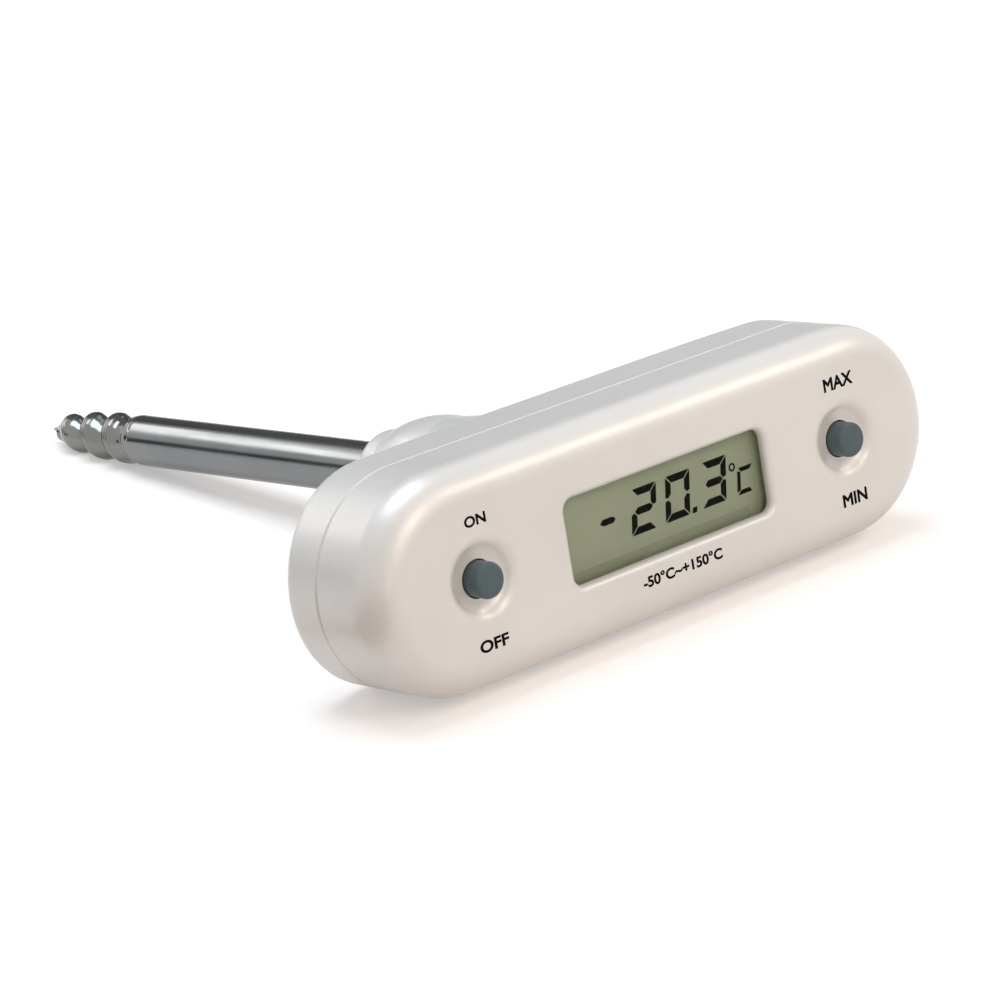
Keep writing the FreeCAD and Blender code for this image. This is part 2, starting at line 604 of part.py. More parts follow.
def neck_profile(sketch):
    """Half section of the neck: a flare, a slow cone and a rounded nose."""
    start = number(f"{END_DEPTH} - wall / 2")
    foot = number("back_depth") - 0.3
    root = number("neck_root")
    flare = number("neck_flare_end")
    cone = number("neck_cone_start")
    nose = number("neck_nose")
    shoulder = number("neck_cone_end")
    end = number("neck_end")
    tip = number("neck_tip")
    bulge = Vector(tip + 0.72 * (shoulder - tip), nose + 0.62 * (end - nose), 0)
    waist = Vector(cone + 0.3 * (root - cone), foot + 0.35 * (flare - foot), 0)
    spots = [Vector(0, start, 0), Vector(root, start, 0), Vector(root, foot, 0),
             Vector(cone, flare, 0), Vector(shoulder, nose, 0), Vector(tip, end, 0), Vector(0, end, 0)]
    sketch.addGeometry(Part.LineSegment(spots[0], spots[1]))
    sketch.addGeometry(Part.LineSegment(spots[1], spots[2]))
    sketch.addGeometry(Part.Arc(spots[2], waist, spots[3]))
    sketch.addGeometry(Part.LineSegment(spots[3], spots[4]))
    sketch.addGeometry(Part.Arc(spots[4], bulge, spots[5]))
    sketch.addGeometry(Part.LineSegment(spots[5], spots[6]))
    sketch.addGeometry(Part.LineSegment(spots[6], spots[0]))


def neck_collar():
    """Rounded collar whose spigot closes the neck round the tube."""
    body = body_on_axis("neck_collar")
    sketch = sketch_on(body, "XY_Plane", "collar_profile")
    end = number("neck_end")
    length = number("collar_length")
    big = number("collar_radius")
    rim = number("collar_rim")
    bore = number("tube_radius + fit_gap")
    spigot = number("collar_spigot")
    start = end - number("spigot_length")
    turn = end + number("collar_straight")
    bulge = Vector(rim + 0.65 * (big - rim), turn + 0.71 * (end + length - turn), 0)
    spots = [Vector(bore, start, 0), Vector(spigot, start, 0), Vector(spigot, end, 0),
             Vector(big, end, 0), Vector(big, turn, 0), Vector(rim, end + length, 0),
             Vector(bore, end + length, 0)]
    sketch.addGeometry(Part.LineSegment(spots[0], spots[1]))
    sketch.addGeometry(Part.LineSegment(spots[1], spots[2]))
    sketch.addGeometry(Part.LineSegment(spots[2], spots[3]))
    sketch.addGeometry(Part.LineSegment(spots[3], spots[4]))
    sketch.addGeometry(Part.Arc(spots[4], bulge, spots[5]))
    sketch.addGeometry(Part.LineSegment(spots[5], spots[6]))
    sketch.addGeometry(Part.LineSegment(spots[6], spots[0]))
    turned(body, "Revolution", "collar", sketch)
    return body


def probe_tube():
    """Steel tube, turned down inside the neck and closed at its outer end by the tip's plug."""
    body = body_on_axis("probe_tube")
    seat = sketch_on(body, "XZ_Plane", "tube_seat_outline", "tube_start")
    circle_at(seat, "seat_radius")
    extrude(body, "Pad", "tube_seat", seat, "tube_end - tube_start")
    shank = sketch_on(body, "XZ_Plane", "tube_shank_outline", PROBE_EXIT)
    circle_at(shank, "tube_radius")
    extrude(body, "Pad", "tube_shank", shank, f"tube_end - {PROBE_EXIT}")
    bore = sketch_on(body, "XZ_Plane", "tube_bore_outline")
    circle_at(bore, "tube_radius - tube_wall")
    extrude(body, "Pocket", "tube_bore", bore)
    return body


def stepped(stations, along):
    """The value at a distance from the tube's end, by straight lines between the stations."""
    for (a, low), (b, high) in zip(stations, stations[1:]):
        if along <= b:
            return low + (high - low) * (along - a) / (b - a)
    return stations[-1][1]


def crest_radius(along):
    """Radius over the flute's crests, just within the tube's so that a sleeve passes over the tip."""
    length = number("tip_length")
    big = number("tube_radius")
    stations = [(0.0, 0.985), (0.3, 0.985), (0.53, 0.91), (0.8, 0.72), (0.9, 0.45)]
    return stepped([(share * length, radius * big) for share, radius in stations], along)


def flute_drop(along):
    """Depth of the flute at a distance from the tube's end: it runs in from nothing and fades out."""
    length = number("tip_length")
    depth = number("flute_depth")
    stations = [(0.0, 0.01), (0.18, 0.72), (0.3, 1.0), (0.53, 1.0), (0.7, 0.78), (0.9, 0.35)]
    return stepped([(share * length, drop * depth) for share, drop in stations], along)


def flute_section(along):
    """Cam-shaped section of the single-start auger: a sharp valley that turns with the lead."""
    start = number("tube_end")
    crest = crest_radius(along)
    depth = flute_drop(along)
    phase = math.radians(number("flute_phase"))
    turn = phase + 2 * math.pi * (along - number("first_valley")) / number("flute_lead")
    spots = []
    for step in range(8):
        angle = 2 * math.pi * step / 8
        reach = crest - depth * (1 - math.sin(angle / 2))
        bearing = turn + angle
        spots.append(Vector(reach * math.sin(bearing), start + along, reach * math.cos(bearing)))
    rising = Part.BSplineCurve()
    rising.interpolate(spots[:5])
    falling = Part.BSplineCurve()
    falling.interpolate(spots[4:] + spots[:1])
    return Part.Wire([rising.toShape(), falling.toShape()])


def drill_tip():
    """Solid steel corkscrew tip, lofted through turned sections, with its point and its plug."""
    start = number("tube_end")
    point = number("point_length")
    fluted = number("tip_length") - point
    count = round(6 * fluted / number("flute_lead"))
    sections = [flute_section(fluted * n / count) for n in range(count + 1)]
    fluted_part = Part.makeLoft(sections, True, False)
    y = Vector(0, 1, 0)
    overlap = point / 4
    base = number("point_base")
    small = number("point_radius")
    foot = base + (base - small) * overlap / point
    cone = Part.makeCone(foot, small, point + overlap, Vector(0, start + fluted - overlap, 0), y)
    plug_length = number("tip_plug_length")
    plug_radius = number("tube_radius - tube_wall - fit_gap")
    plug = Part.makeCylinder(plug_radius, plug_length, Vector(0, start - plug_length, 0), y)
    thing = doc.addObject("Part::Feature", "drill_tip")
    thing.Shape = fluted_part.fuse([cone, plug])
    place(thing)
    return named(thing, "drill_tip")


def thermometer_core():
    """What the probe holds: flange, resin, neck seal, sensor bead with its filling and wires."""
    flange_start = "neck_shoulder - tube_flange"
    flange = cut("tube_flange",
                 cylinder("flange_disc", "flange_radius", "tube_flange", y=flange_start),
                 cylinder("flange_bore", "seat_radius + fit_gap", "tube_flange", y=flange_start))
    named(flange, "tube_flange")

    resin_start = f"{flange_start} - potting_depth"
    wire_holes = [cylinder(f"resin_wire_hole_{n}", "wire_radius + fit_gap", "tube_end",
                           f"{side} * wire_offset") for n, side in enumerate((-1, 1))]
    resin = cut("neck_potting",
                cylinder("resin_plug", "neck_bore - fit_gap", "potting_depth", y=resin_start),
                cylinder("resin_tube_seat", "seat_radius + fit_gap", "tube_end", y="tube_start"),
                *wire_holes)
    named(resin, "neck_potting")

    ring = doc.addObject("Part::Torus", "neck_seal")
    ring.setExpression("Radius1", bound("seat_radius + fit_gap + seal_section"))
    ring.setExpression("Radius2", bound("seal_section"))
    ring.Placement = FreeCAD.Placement(Vector(0, 0, 0), Rotation(Vector(1, 0, 0), -90))
    place(ring, y="neck_end - spigot_length - 1.1 * seal_section")
    named(ring, "neck_seal")

    bead_start = "tube_end - bead_setback - bead_length"
    bead = cylinder("sensor_bead", "bead_radius", "bead_length", y=bead_start)
    named(bead, "sensor_bead")
    wires = [cylinder(f"sensor_wire_{n}", "wire_radius", f"{bead_start} + {BOARD_BACK}",
                      f"{side} * wire_offset", f"-{BOARD_BACK}") for n, side in enumerate((-1, 1))]
    named(group("sensor_wires", *wires), "sensor_wires")

    fill_start = f"{bead_start} - bead_length / 2"
    fill_length = f"tube_end - tip_plug_length - fit_gap - ({fill_start})"
    filling = cut("sensor_filling",
                  cylinder("filling_plug", "tube_radius - tube_wall - fit_gap", fill_length, y=fill_start),
                  cylinder("filling_bead_hole", "bead_radius", "bead_length", y=bead_start),
                  *[cylinder(f"filling_wire_hole_{n}", "wire_radius", "bead_length / 2",
                             f"{side} * wire_offset", fill_start) for n, side in enumerate((-1, 1))])
    named(filling, "sensor_filling")


def shell_gasket():
    """Rubber cord in the rear shell's groove, pressed by the front shell's rim."""
    body = body_on_axis("shell_gasket")
    ring = sketch_on(body, "XZ_Plane", "gasket_outline")
    inset = "((wall - gasket_width) / 2 + fit_gap)"
    width = "(gasket_width - 2 * fit_gap)"
    stadium(ring, f"handle_length - 2 * {inset}", f"handle_height - 2 * {inset}")
    stadium(ring, f"handle_length - 2 * ({inset} + {width})", f"handle_height - 2 * ({inset} + {width})")
    extrude(body, "Pad", "gasket", ring, "gasket_depth - fit_gap")


def display():
    """Window lens, display glass, its frame and the two rubber contact strips."""
    lens = box("window_lens", LENS_LENGTH, "lens_thickness", LENS_HEIGHT, y=f"-{LENS_FRONT}")
    named(lens, "window_lens")
    glass_length = f"({LENS_LENGTH} - 2 * lcd_edge)"
    glass_height = f"({LENS_HEIGHT} - 2 * lcd_edge)"
    glass = box("lcd_panel", glass_length, "lcd_thickness", glass_height, y=f"-{LENS_BACK}")
    named(glass, "lcd_panel")

    frame_depth = f"({LENS_BACK} - board_setback)"
    frame = cut("display_frame",
                box("frame_block", f"{glass_length} + 2 * frame_wall", frame_depth,
                    f"{glass_height} + 2 * frame_wall", y=f"-{LENS_BACK}"),
                box("frame_opening", f"{glass_length} + 2 * fit_gap", frame_depth,
                    f"{glass_height} + 2 * fit_gap", y=f"-{LENS_BACK}"))
    named(frame, "display_frame")

    for label, side in (("upper_contact_strip", 1), ("lower_contact_strip", -1)):
        strip = box(label, f"{glass_length} - 2 * strip_width", f"{LCD_BACK} - board_setback",
                    "strip_width", y=f"-{LCD_BACK}", z=f"{side} * ({glass_height} - strip_width) / 2")
        named(strip, label)


def board():
    """Circuit board with its screws, moulded chip cover and small components."""
    holes = [cylinder(f"board_hole_{n}", "board_screw_radius + 2 * fit_gap", "board_thickness",
                      f"{i} * {POST_X}", "-board_setback", f"{j} * {POST_Z}")
             for n, (i, j) in enumerate(CORNERS)]
    plate = box("board_plate", BOARD_LENGTH, "board_thickness", BOARD_HEIGHT, y="-board_setback")
    named(cut("circuit_board", plate, *holes), "circuit_board")

    screws = []
    for n, (i, j) in enumerate(CORNERS):
        spot = (f"{i} * {POST_X}", f"{j} * {POST_Z}")
        shank = cylinder(f"board_screw_shank_{n}", "board_screw_radius", "board_screw_length",
                         spot[0], f"-({BOARD_BACK} + board_screw_length)", spot[1])
        head = cylinder(f"board_screw_head_{n}", "2 * board_screw_radius", "board_screw_radius",
                        spot[0], f"-{BOARD_BACK}", spot[1])
        screws.append(fused(f"board_screw_{n}", shank, head))
    named(group("board_screws", *screws), "board_screws")

    cover = doc.addObject("Part::Cone", "chip_cover")
    cover.Radius1 = "4.5 mm"
    cover.Radius2 = "3.4 mm"
    cover.Height = "1.4 mm"
    cover.Placement = FreeCAD.Placement(Vector(0, 0, 0), Rotation(Vector(1, 0, 0), -90))
    place(cover, f"-{BOARD_LENGTH} / 6", f"-{BOARD_BACK}")
    named(cover, "chip_cover")

    spots = ((-1, 1), (-1, -1), (-1.3, 0), (0.35, 1.6))
    small = [box(f"component_{n}", "3.2", "0.9", "1.6", f"{i} * {BOARD_LENGTH} / 4", f"-{BOARD_BACK}",
                 f"{j} * {BOARD_HEIGHT} / 6") for n, (i, j) in enumerate(spots)]
    named(group("board_components", *small), "board_components")


def button(label, side):
    """Rubber button with its flange and stem, its switch's housing and the plunger that it presses."""
    x = f"{side} * {BUTTON_X}"
    body = body_on_axis(f"{label}_button")
    place(body, x)
    sketch = sketch_on(body, "XY_Plane", f"{label}_button_profile")
    outline(sketch, [("0", "-(front_depth + button_proud)"),
                     ("button_radius", "-(front_depth + button_proud)"),
                     ("button_radius", f"-({FACE_INNER} - button_gap)"),
                     ("button_flange", f"-({FACE_INNER} - button_gap)"),
                     ("button_flange", f"-({FACE_INNER} - button_gap - flange_thickness)"),
                     ("stem_radius", f"-({FACE_INNER} - button_gap - flange_thickness)"),
                     ("stem_radius", f"-{PLUNGER_FRONT}"),
                     ("0", f"-{PLUNGER_FRONT}")])
    turned(body, "Revolution", f"{label}_button_form", sketch)
    top = -number("front_depth + button_proud")
    rim = edges_where(body, lambda edge, box: near(box.YMin, top) and near(box.YMax, top))
    dressed(body, "Fillet", f"{label}_button_round", rim, "button_radius / 5")

    sink = "(plunger_rise + button_travel)"
    housing = cut(f"{label}_switch",
                  box(f"{label}_switch_block", "switch_size", "switch_depth", "switch_size", x,
                      f"-{SWITCH_FRONT}"),
                  cylinder(f"{label}_switch_bore", "plunger_radius + 2 * fit_gap",
                           f"{sink} + plunger_rise", x, f"-{SWITCH_FRONT}"))
    named(housing, f"{label}_switch")
    plunger = cylinder(f"{label}_plunger", "plunger_radius", "2 * plunger_rise", x, f"-{PLUNGER_FRONT}")
    named(plunger, f"{label}_plunger")


def power_supply():
    """Button cell, its two contacts and the coin-slotted bayonet cap with its seal."""
    cell = cylinder("button_cell", "cell_radius", "cell_height", CELL_X, "cell_top - cell_height")
    named(cell, "button_cell")

    cell_bottom = "cell_top - cell_height"
    disc = cylinder("contact_disc", "cell_radius * 0.6", "contact_sheet", CELL_X,
                    f"{cell_bottom} - contact_sheet")
    leg = box("contact_leg", "3", f"{BOARD_BACK} + {cell_bottom}", "contact_sheet", CELL_X,
              f"-{BOARD_BACK}", "cell_radius * 0.3")
    named(fused("inner_cell_contact", disc, leg), "inner_cell_contact")
    strip = box("side_cell_contact", "contact_sheet", f"{BOARD_BACK} + cell_top * 0.8", "contact_width",
                f"{CELL_X} - cell_radius - contact_sheet / 2 - fit_gap", f"-{BOARD_BACK}")
    named(strip, "side_cell_contact")

    body = body_on_axis("battery_cap")
    place(body, CELL_X)
    sketch = sketch_on(body, "XY_Plane", "cap_profile")
    groove = "(cap_radius + cap_gap - 2 * cap_seal_radius - 2 * fit_gap)"
    low = "(cell_top + 4 * fit_gap)"
    seat = "(cap_seat + fit_gap)"
    middle = f"({seat} + cap_thickness / 2)"
    outline(sketch, [("0", low),
                     ("cap_plug_radius", low),
                     ("cap_plug_radius", seat),
                     ("cap_radius", seat),
                     ("cap_radius", f"{middle} - cap_seal_radius - fit_gap"),
                     (groove, f"{middle} - cap_seal_radius - fit_gap"),
                     (groove, f"{middle} + cap_seal_radius + fit_gap"),
                     ("cap_radius", f"{middle} + cap_seal_radius + fit_gap"),
                     ("cap_radius", f"{seat} + cap_thickness"),
                     ("0", f"{seat} + cap_thickness")])
    turned(body, "Revolution", "cap_form", sketch)
    top = number(f"{seat} + cap_thickness")
    rim = edges_where(body, lambda edge, box: near(box.YMin, top) and near(box.YMax, top))
    dressed(body, "Chamfer", "cap_edge", rim, "cap_thickness / 6")
    lugs = sketch_on(body, "XZ_Plane", "lug_outline", low)
    rectangle(lugs, "2 * lug_reach", "lug_width")
    extrude(body, "Pad", "bayonet_lugs", lugs, "lug_thickness")
    slot = sketch_on(body, "XZ_Plane", "coin_slot_outline", f"{seat} + cap_thickness - coin_slot_depth")
    rectangle(slot, "coin_slot_length", "coin_slot")
    extrude(body, "Pocket", "coin_slot", slot)

    ring = doc.addObject("Part::Torus", "cap_seal")
    ring.setExpression("Radius1", bound("cap_radius + cap_gap - fit_gap - cap_seal_radius"))
    ring.setExpression("Radius2", bound("cap_seal_radius"))
    ring.Placement = FreeCAD.Placement(Vector(0, 0, 0), Rotation(Vector(1, 0, 0), -90))
    place(ring, CELL_X, middle)
    named(ring, "cap_seal")


def case_screws():
    """Four screws that hold the shells together, driven from the back."""
    screws = []
    for n, (i, j) in enumerate(CORNERS):
        spot = (f"{i} * {BOSS_X}", f"{j} * {BOSS_Z}")
        shank = cylinder(f"case_screw_shank_{n}", "screw_radius", "screw_length", spot[0],
                         "screw_seat - screw_length", spot[1])
        head = cylinder(f"case_screw_head_{n}", "screw_head_radius", "screw_head_depth", spot[0],
                        "screw_seat", spot[1])
        screws.append(fused(f"case_screw_{n}", shank, head))
    named(group("case_screws", *screws), "case_screws")


def faults():
    """What is wrong with the document's objects and sub-parts, in words."""
    found = [f"{item.Label}: {', '.join(item.State)}" for item in doc.Objects
             if "Invalid" in item.State or "Error" in item.State]
    for thing in SUB_PARTS:
        if thing.Shape.isNull():
            found.append(f"{thing.Label}: no shape")
        elif not thing.Shape.isValid():
            found.append(f"{thing.Label}: shape isn't valid")
        elif not thing.Shape.Solids:
            found.append(f"{thing.Label}: no solid")
    return found


def main():
    front_shell()
    rear_shell()
    neck_collar()
    probe_tube()
    drill_tip()
    thermometer_core()
    shell_gasket()
    display()
    board()
    button("power", -1)
    button("memory", 1)
    power_supply()
    case_screws()
    doc.recompute()
    wrong = faults()
    if wrong:
        raise SystemExit("\n".join(wrong))
    os.makedirs("parts", exist_ok=True)
    for thing in SUB_PARTS:
        thing.Shape.exportStep(f"parts/{thing.Label}.step")
    print(f"{len(SUB_PARTS)} sub-parts written")


main()
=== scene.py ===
"""Looks of the T-handle probe thermometer: moulded shells, display, buttons, probe and tip."""
import bmesh
import bpy
import math
from mathutils import Matrix, Vector


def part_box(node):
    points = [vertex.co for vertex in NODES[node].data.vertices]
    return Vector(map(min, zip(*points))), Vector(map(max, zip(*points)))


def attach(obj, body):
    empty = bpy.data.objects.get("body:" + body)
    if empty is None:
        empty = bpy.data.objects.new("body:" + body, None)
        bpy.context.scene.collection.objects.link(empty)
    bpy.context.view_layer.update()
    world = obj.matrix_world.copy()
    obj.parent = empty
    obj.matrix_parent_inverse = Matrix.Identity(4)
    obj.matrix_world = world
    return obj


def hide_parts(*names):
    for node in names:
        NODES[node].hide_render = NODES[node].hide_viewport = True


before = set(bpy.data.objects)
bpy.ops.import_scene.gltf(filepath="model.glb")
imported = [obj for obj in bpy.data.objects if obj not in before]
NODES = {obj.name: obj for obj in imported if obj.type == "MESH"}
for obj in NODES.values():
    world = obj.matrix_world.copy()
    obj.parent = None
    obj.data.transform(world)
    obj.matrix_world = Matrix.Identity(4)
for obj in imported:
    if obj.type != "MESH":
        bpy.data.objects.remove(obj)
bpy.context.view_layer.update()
MM = 0.001

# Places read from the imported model, in metres
FACE_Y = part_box("front_shell")[0].y
DISPLAY_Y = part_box("lcd_panel")[0].y
HANDLE_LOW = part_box("front_shell")[0].z
SEAM_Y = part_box("front_shell")[1].y
SCREW_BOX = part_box("case_screws")

# Camera fitted to the photograph: place, picture axes and lens
CAMERA_SPOT = Vector((-0.31388, FACE_Y - 0.36018, 0.12397))
PICTURE_RIGHT = Vector((0.74798, -0.64379, -0.16145))
PICTURE_DOWN = Vector((-0.27874, -0.08392, -0.95669))
SENSOR_WIDTH = 36.0
LENS = 133.57

# The thermometer lies on the back edge of its handle and on the lowest crest near its tip
BACK_EDGE_Y = SEAM_Y + 6.0 * MM
TIP_CREST_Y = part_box("drill_tip")[1].y - 6.2 * MM
TIP_CREST_Z = -2.75 * MM
FLOOR_TILT = math.atan2(TIP_CREST_Z - HANDLE_LOW, TIP_CREST_Y - BACK_EDGE_Y)

# Printed words on the face, in millimetres: left, right, low and high edges
WORDS = {
    "label_on": ("ON", -35.0, -31.4, 7.2, 8.7),
    "label_off": ("OFF", -35.8, -30.9, -9.35, -7.7),
    "label_max": ("MAX", 30.5, 36.2, 7.35, 9.25),
    "label_min": ("MIN", 31.1, 35.9, -9.35, -7.5),
    "label_range": ("-50°C~+150°C", -7.1, 7.55, -9.4, -7.8),
}
STROKE_SWELL = 0.034
LABEL_SINK = 0.002
INK_THICKNESS = 0.02

# Reading of the display, in millimetres from the middle of the face
DIGIT_HEIGHT = 6.15
DIGIT_WIDTH = 4.5
DIGIT_SLANT = 0.17
DIGIT_BASE = -2.7
SEGMENT_WIDTH = 1.0
SEGMENT_GAP = 0.12
FIGURE_LIFT = 0.01
FIGURES = [(-5.25, "abged"), (0.95, "abcdef"), (7.8, "abgcd")]
MINUS_SIGN = [(-11.0, 0.5), (-10.4, 0.98), (-8.7, 0.98), (-8.1, 0.6), (-8.6, 0.1), (-10.4, 0.1)]
DECIMAL_POINT = [(5.35, -2.75), (6.2, -2.75), (6.4, -2.0), (5.55, -2.0)]
DEGREE_CENTRE = Vector((13.6, 1.4))
DEGREE_INNER = 0.34
DEGREE_OUTER = 0.6
RING_STEPS = 24

# Case screws, in millimetres: the outline of a head is its distance from the axis and from the seat
SCREW_HEAD = 1.5
SCREW_HEAD_RADIUS = 2.0
SCREW_HEAD_OUTLINE = [(0.0, 0.0), (SCREW_HEAD_RADIUS, 0.0), (SCREW_HEAD_RADIUS, 0.95), (1.85, 1.3),
                      (1.5, SCREW_HEAD)]
SCREW_HEAD_STEPS = 40
SCREW_SHANK_RADIUS = 1.1
SCREW_OVERLAP = 0.2
CROSS_REACH = 1.1
CROSS_HALF = 0.25
CROSS_DEPTH = 0.9
HEAD_TOP_REACH = 1.6

# Floor and sky
FLOOR_SIZE = 6.0
FLOOR_COLOUR = (0.8, 0.74, 0.70, 1)
FLOOR_GLOW = 0.36
SKY_COLOUR = (0.93, 0.96, 1.0, 1)
SKY_LIGHT = 0.40
WHITE = (1, 1, 1, 1)


def camera():
    """The photograph's view."""
    data = bpy.data.cameras.new("photo_camera")
    data.lens = LENS
    data.sensor_width = SENSOR_WIDTH
    data.clip_start = 0.01
    data.clip_end = 20
    eye = bpy.data.objects.new("photo_camera", data)
    bpy.context.scene.collection.objects.link(eye)
    right = PICTURE_RIGHT.normalized()
    up = -(PICTURE_DOWN - PICTURE_DOWN.dot(right) * right).normalized()
    back = right.cross(up)
    turn = Matrix((right, up, back)).transposed()
    eye.matrix_world = Matrix.Translation(CAMERA_SPOT) @ turn.to_4x4()
    bpy.context.scene.camera = eye


def new_material(name):
    """A new node material, with its nodes, its links and its Principled shader."""
    material = bpy.data.materials.new(name)
    material.use_nodes = True
    nodes = material.node_tree.nodes
    shader = nodes["Principled BSDF"]
    return material, nodes, material.node_tree.links, shader


def noise(nodes, links, scale, detail=3.0, roughness=0.5, stretch=None):
    """Noise on the piece's own coordinates, in waves per metre; stretch gives it a direction."""
    coordinates = nodes.new("ShaderNodeTexCoord")
    pattern = nodes.new("ShaderNodeTexNoise")
    pattern.inputs["Scale"].default_value = scale
    pattern.inputs["Detail"].default_value = detail
    pattern.inputs["Roughness"].default_value = roughness
    if stretch is None:
        links.new(coordinates.outputs["Object"], pattern.inputs["Vector"])
        return pattern.outputs["Fac"]
    mapping = nodes.new("ShaderNodeMapping")
    mapping.inputs["Scale"].default_value = stretch
    links.new(coordinates.outputs["Object"], mapping.inputs["Vector"])
    links.new(mapping.outputs["Vector"], pattern.inputs["Vector"])
    return pattern.outputs["Fac"]


def ramp(nodes, links, fac, stops):
    """A colour ramp over a pattern; stops are (place, grey or colour)."""
    node = nodes.new("ShaderNodeValToRGB")
    links.new(fac, node.inputs["Fac"])
    band = node.color_ramp
    while len(band.elements) < len(stops):
        band.elements.new(0.5)
    for element, (place, colour) in zip(band.elements, stops):
        element.position = place
        if isinstance(colour, (int, float)):
            colour = (colour, colour, colour)
        element.color = (*colour, 1.0)
    return node.outputs["Color"]


def bump(nodes, links, shader, fac, strength, depth):
    """Fine relief from a pattern, with its depth in metres."""
    node = nodes.new("ShaderNodeBump")
    node.inputs["Strength"].default_value = strength
    node.inputs["Distance"].default_value = depth
    links.new(fac, node.inputs["Height"])
    links.new(node.outputs["Normal"], shader.inputs["Normal"])


def moulded_plastic(name, colour, roughness=0.36, grain=0.3, pearl=0.0):
    """Satin moulding with a fine grain and faint clouding; pearl is its share of metallic flakes."""
    material, nodes, links, shader = new_material(name)
    cloud = noise(nodes, links, 45.0, 2.0)
    light = tuple(min(1.0, c * 1.02) for c in colour)
    dark = tuple(c * 0.97 for c in colour)
    links.new(ramp(nodes, links, cloud, [(0.35, dark), (0.65, light)]), shader.inputs["Base Color"])
    fine = noise(nodes, links, 2600.0, 2.0)
    gloss = ramp(nodes, links, fine, [(0.3, roughness - 0.05), (0.7, roughness + 0.07)])
    links.new(gloss, shader.inputs["Roughness"])
    shader.inputs["Metallic"].default_value = pearl
    shader.inputs["Coat Weight"].default_value = pearl
    shader.inputs["Coat Roughness"].default_value = 0.2
    bump(nodes, links, shader, fine, grain, 0.00001)
    return material


def rubber(name, colour, roughness=0.55):
    """Soft moulded rubber with a dusty fine grain."""
    material, nodes, links, shader = new_material(name)
    fine = noise(nodes, links, 3000.0, 3.0)
    cloud = noise(nodes, links, 300.0, 2.0)
    dark = tuple(c * 0.86 for c in colour)
    light = tuple(min(1.0, c * 1.12) for c in colour)
    links.new(ramp(nodes, links, cloud, [(0.3, dark), (0.7, light)]), shader.inputs["Base Color"])
    links.new(ramp(nodes, links, fine, [(0.3, roughness - 0.07), (0.7, roughness + 0.1)]),
              shader.inputs["Roughness"])
    shader.inputs["Sheen Weight"].default_value = 0.1
    bump(nodes, links, shader, fine, 0.3, 0.00001)
    return material


def polished_steel(name, colour, roughness, stretch, scratch=0.25):
    """Drawn and polished stainless steel with fine marks along one direction."""
    material, nodes, links, shader = new_material(name)
    marks = noise(nodes, links, 900.0, 4.0, 0.6, stretch)
    cloud = noise(nodes, links, 120.0, 2.0)
    dark = tuple(c * 0.9 for c in colour)
    links.new(ramp(nodes, links, cloud, [(0.3, dark), (0.7, colour)]), shader.inputs["Base Color"])
    links.new(ramp(nodes, links, marks, [(0.3, roughness * 0.75), (0.7, roughness * 1.3)]),
              shader.inputs["Roughness"])
    shader.inputs["Metallic"].default_value = 1.0
    bump(nodes, links, shader, marks, scratch, 0.000004)
    return material


def display_glass():
    """Grey-green reflective layer of the display, with a soft unevenness."""
    material, nodes, links, shader = new_material("display_reflector")
    cloud = noise(nodes, links, 90.0, 2.0)
    colour = ramp(nodes, links, cloud, [(0.3, (0.495, 0.55, 0.37)), (0.7, (0.525, 0.58, 0.39))])
    links.new(colour, shader.inputs["Base Color"])
    grain = noise(nodes, links, 5000.0, 2.0)
    links.new(ramp(nodes, links, grain, [(0.3, 0.42), (0.7, 0.55)]), shader.inputs["Roughness"])
    shader.inputs["Specular IOR Level"].default_value = 0.3
    return material


def lens_glass():
    """Clear moulded window lens: it shows the display and a faint gloss of its own."""
    material, nodes, links, shader = new_material("window_lens_clear")
    smear = noise(nodes, links, 160.0, 2.0)
    links.new(ramp(nodes, links, smear, [(0.3, 0.04), (0.7, 0.08)]), shader.inputs["Roughness"])
    shader.inputs["Base Color"].default_value = (0.01, 0.01, 0.01, 1.0)
    shader.inputs["Alpha"].default_value = 0.06
    return material


def ink(name, colour):
    """Printed ink or a darkened display segment, with slightly uneven cover."""
    material, nodes, links, shader = new_material(name)
    cover = noise(nodes, links, 2500.0, 2.0)
    light = tuple(c + 0.003 for c in colour)
    links.new(ramp(nodes, links, cover, [(0.35, colour), (0.7, light)]), shader.inputs["Base Color"])
    shader.inputs["Roughness"].default_value = 0.8
    shader.inputs["Specular IOR Level"].default_value = 0.05
    return material


def give(material, *names):
    """Put one finish on whole CAD nodes."""
    for name in names:
        mesh = NODES[name].data
        mesh.materials.clear()
        mesh.materials.append(material)


def mesh_piece(name, form, material, body="housing"):
    """Turn a finished bmesh into a named piece that rides on a body."""
    mesh = bpy.data.meshes.new(name)
    form.to_mesh(mesh)
    form.free()
    mesh.materials.append(material)
    piece = bpy.data.objects.new(name, mesh)
    bpy.context.scene.collection.objects.link(piece)
    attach(piece, body)
    return piece


def plate(form, corners, y, depth):
    """A thin closed plate from its outline on the face, in millimetres, that stands out by its depth."""
    spots = [form.verts.new((x * MM, y, z * MM)) for x, z in corners]
    face = form.faces.new(spots)
    out = bmesh.ops.extrude_face_region(form, geom=[face])
    raised = [item for item in out["geom"] if isinstance(item, bmesh.types.BMVert)]
    bmesh.ops.translate(form, verts=raised, vec=(0, -depth * MM, 0))


def slanted(corners, x0, z0):
    """Display outlines lean to the right and stand at (x0, z0)."""
    return [(x0 + x + (z - DIGIT_HEIGHT / 2) * DIGIT_SLANT, z0 + z) for x, z in corners]


